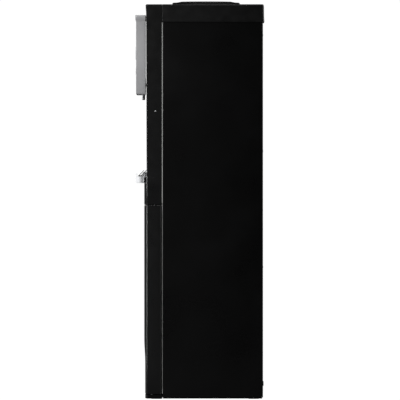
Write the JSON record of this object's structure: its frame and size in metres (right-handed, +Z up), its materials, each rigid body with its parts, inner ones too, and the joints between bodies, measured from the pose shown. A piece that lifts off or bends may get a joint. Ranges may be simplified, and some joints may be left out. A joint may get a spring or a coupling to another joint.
{
  "type": "free-standing water dispenser",
  "caption": "Tall free-standing hot and cold water dispenser: bottle seat on top, silver tap fascia over a recessed bay, pull-out drip tray and a hinged storage cabinet door.",
  "frame": {"origin": "on the floor, under the middle of the whole object's box", "axes": "+Z up, -Y towards the front with the taps and the door, +X to the hinge side of the door"},
  "size_m": [0.3174, 0.3236, 0.995],
  "materials": {
    "black_steel": "black textured powder coat, fine orange peel",
    "black_plastic": "satin black moulded plastic with a fine texture",
    "gloss_black": "gloss black moulded plastic",
    "silver_plastic": "satin silver paint",
    "chrome": "bright chrome plate",
    "galvanised": "zinc-coated sheet steel",
    "stainless": "brushed stainless steel",
    "copper": "drawn copper, lightly oxidised",
    "rubber": "matt black rubber",
    "silicone": "translucent food-grade silicone",
    "white_plastic": "matt off-white moulded plastic",
    "foam": "expanded polystyrene bead foam",
    "red_plastic": "red moulded plastic",
    "blue_plastic": "blue moulded plastic",
    "green_plastic": "green moulded plastic",
    "board": "green circuit board laminate"
  },
  "bodies": {
    "cabinet": {"base_pan": "black_steel", "foot_front_left": "rubber", "foot_front_right": "rubber", "foot_rear_left": "rubber", "foot_rear_right": "rubber", "side_panel_left": "black_steel", "side_panel_right": "black_steel", "top_cover": "black_plastic", "cross_member": "galvanised", "back_panel": "galvanised", "cabinet_liner": "white_plastic", "upper_front_panel": "black_plastic", "alcove_liner": "gloss_black", "control_fascia": "silver_plastic", "control_board": "board", "light_pipe_1": "silicone", "light_pipe_2": "silicone", "light_pipe_3": "silicone", "hinge_pin_lower": "stainless", "hinge_pin_upper": "stainless", "hot_tap": "white_plastic", "cold_tap": "white_plastic", "hot_nozzle": "chrome", "cold_nozzle": "chrome", "seat_gasket": "silicone", "cold_tank": "stainless", "tank_lid": "white_plastic", "tank_baffle": "white_plastic", "tank_insulation": "foam", "hot_tank": "stainless", "hot_tank_bracket": "galvanised", "cold_hose": "silicone", "hot_hose": "silicone", "feed_hose": "silicone", "drain_hose": "silicone", "drain_spout": "white_plastic", "evaporator_coil": "copper", "compressor": "black_steel", "compressor_base": "galvanised", "relay_cover": "gloss_black", "condenser_coil": "black_steel", "condenser_bar_left": "black_steel", "condenser_bar_right": "black_steel", "filter_drier": "copper", "switch_plate": "gloss_black", "cord_gland": "rubber"},
    "door": {"door_shell": "black_plastic", "door_inner_panel": "white_plastic", "door_gasket": "rubber", "door_catch_magnet": "rubber"},
    "hot_button_body": {"hot_button": "red_plastic"},
    "cold_button_body": {"cold_button": "blue_plastic"},
    "lock_slider": {"child_lock_slider": "red_plastic"},
    "tray": {"drip_tray": "chrome"},
    "grille": {"drip_grille": "gloss_black"},
    "seat": {"bottle_seat": "black_plastic"},
    "probe": {"feed_probe": "white_plastic"},
    "hot_rocker": {"hot_switch": "red_plastic"},
    "cold_rocker": {"cold_switch": "green_plastic"},
    "cap": {"drain_cap": "gloss_black"}
  },
  "joints": [
    {"name": "door_hinge", "type": "hinge", "parent": "cabinet", "child": "door", "pos_m": [0.145, -0.1195, 0.25], "axis": [0, 0, 1], "range_deg": [0, 110]},
    {"name": "hot_button_press", "type": "slide", "parent": "cabinet", "child": "hot_button_body", "axis": [0, 1, 0], "range_m": [0, 0.0022], "stiffness_N_per_m": 250},
    {"name": "cold_button_press", "type": "slide", "parent": "cabinet", "child": "cold_button_body", "axis": [0, 1, 0], "range_m": [0, 0.0022], "stiffness_N_per_m": 250},
    {"name": "child_lock_slide", "type": "slide", "parent": "cabinet", "child": "lock_slider", "axis": [1, 0, 0], "range_m": [0, 0.012]},
    {"name": "tray_pull", "type": "slide", "parent": "cabinet", "child": "tray", "axis": [0, -1, 0], "range_m": [0, 0.09]},
    {"name": "grille_lift", "type": "slide", "parent": "tray", "child": "grille", "axis": [0, 0, 1], "range_m": [0, 0.05]},
    {"name": "seat_lift", "type": "slide", "parent": "cabinet", "child": "seat", "axis": [0, 0, 1], "range_m": [0, 0.06]},
    {"name": "probe_lift", "type": "slide", "parent": "seat", "child": "probe", "axis": [0, 0, 1], "range_m": [0, 0.05]},
    {"name": "hot_switch_rock", "type": "hinge", "parent": "cabinet", "child": "hot_rocker", "pos_m": [-0.112, 0.1361, 0.87], "axis": [1, 0, 0], "range_deg": [-6, 6]},
    {"name": "cold_switch_rock", "type": "hinge", "parent": "cabinet", "child": "cold_rocker", "pos_m": [-0.084, 0.1361, 0.87], "axis": [1, 0, 0], "range_deg": [-6, 6]},
    {"name": "drain_cap_pull", "type": "slide", "parent": "cabinet", "child": "cap", "axis": [0, 1, 0], "range_m": [0, 0.025]}
  ]
}
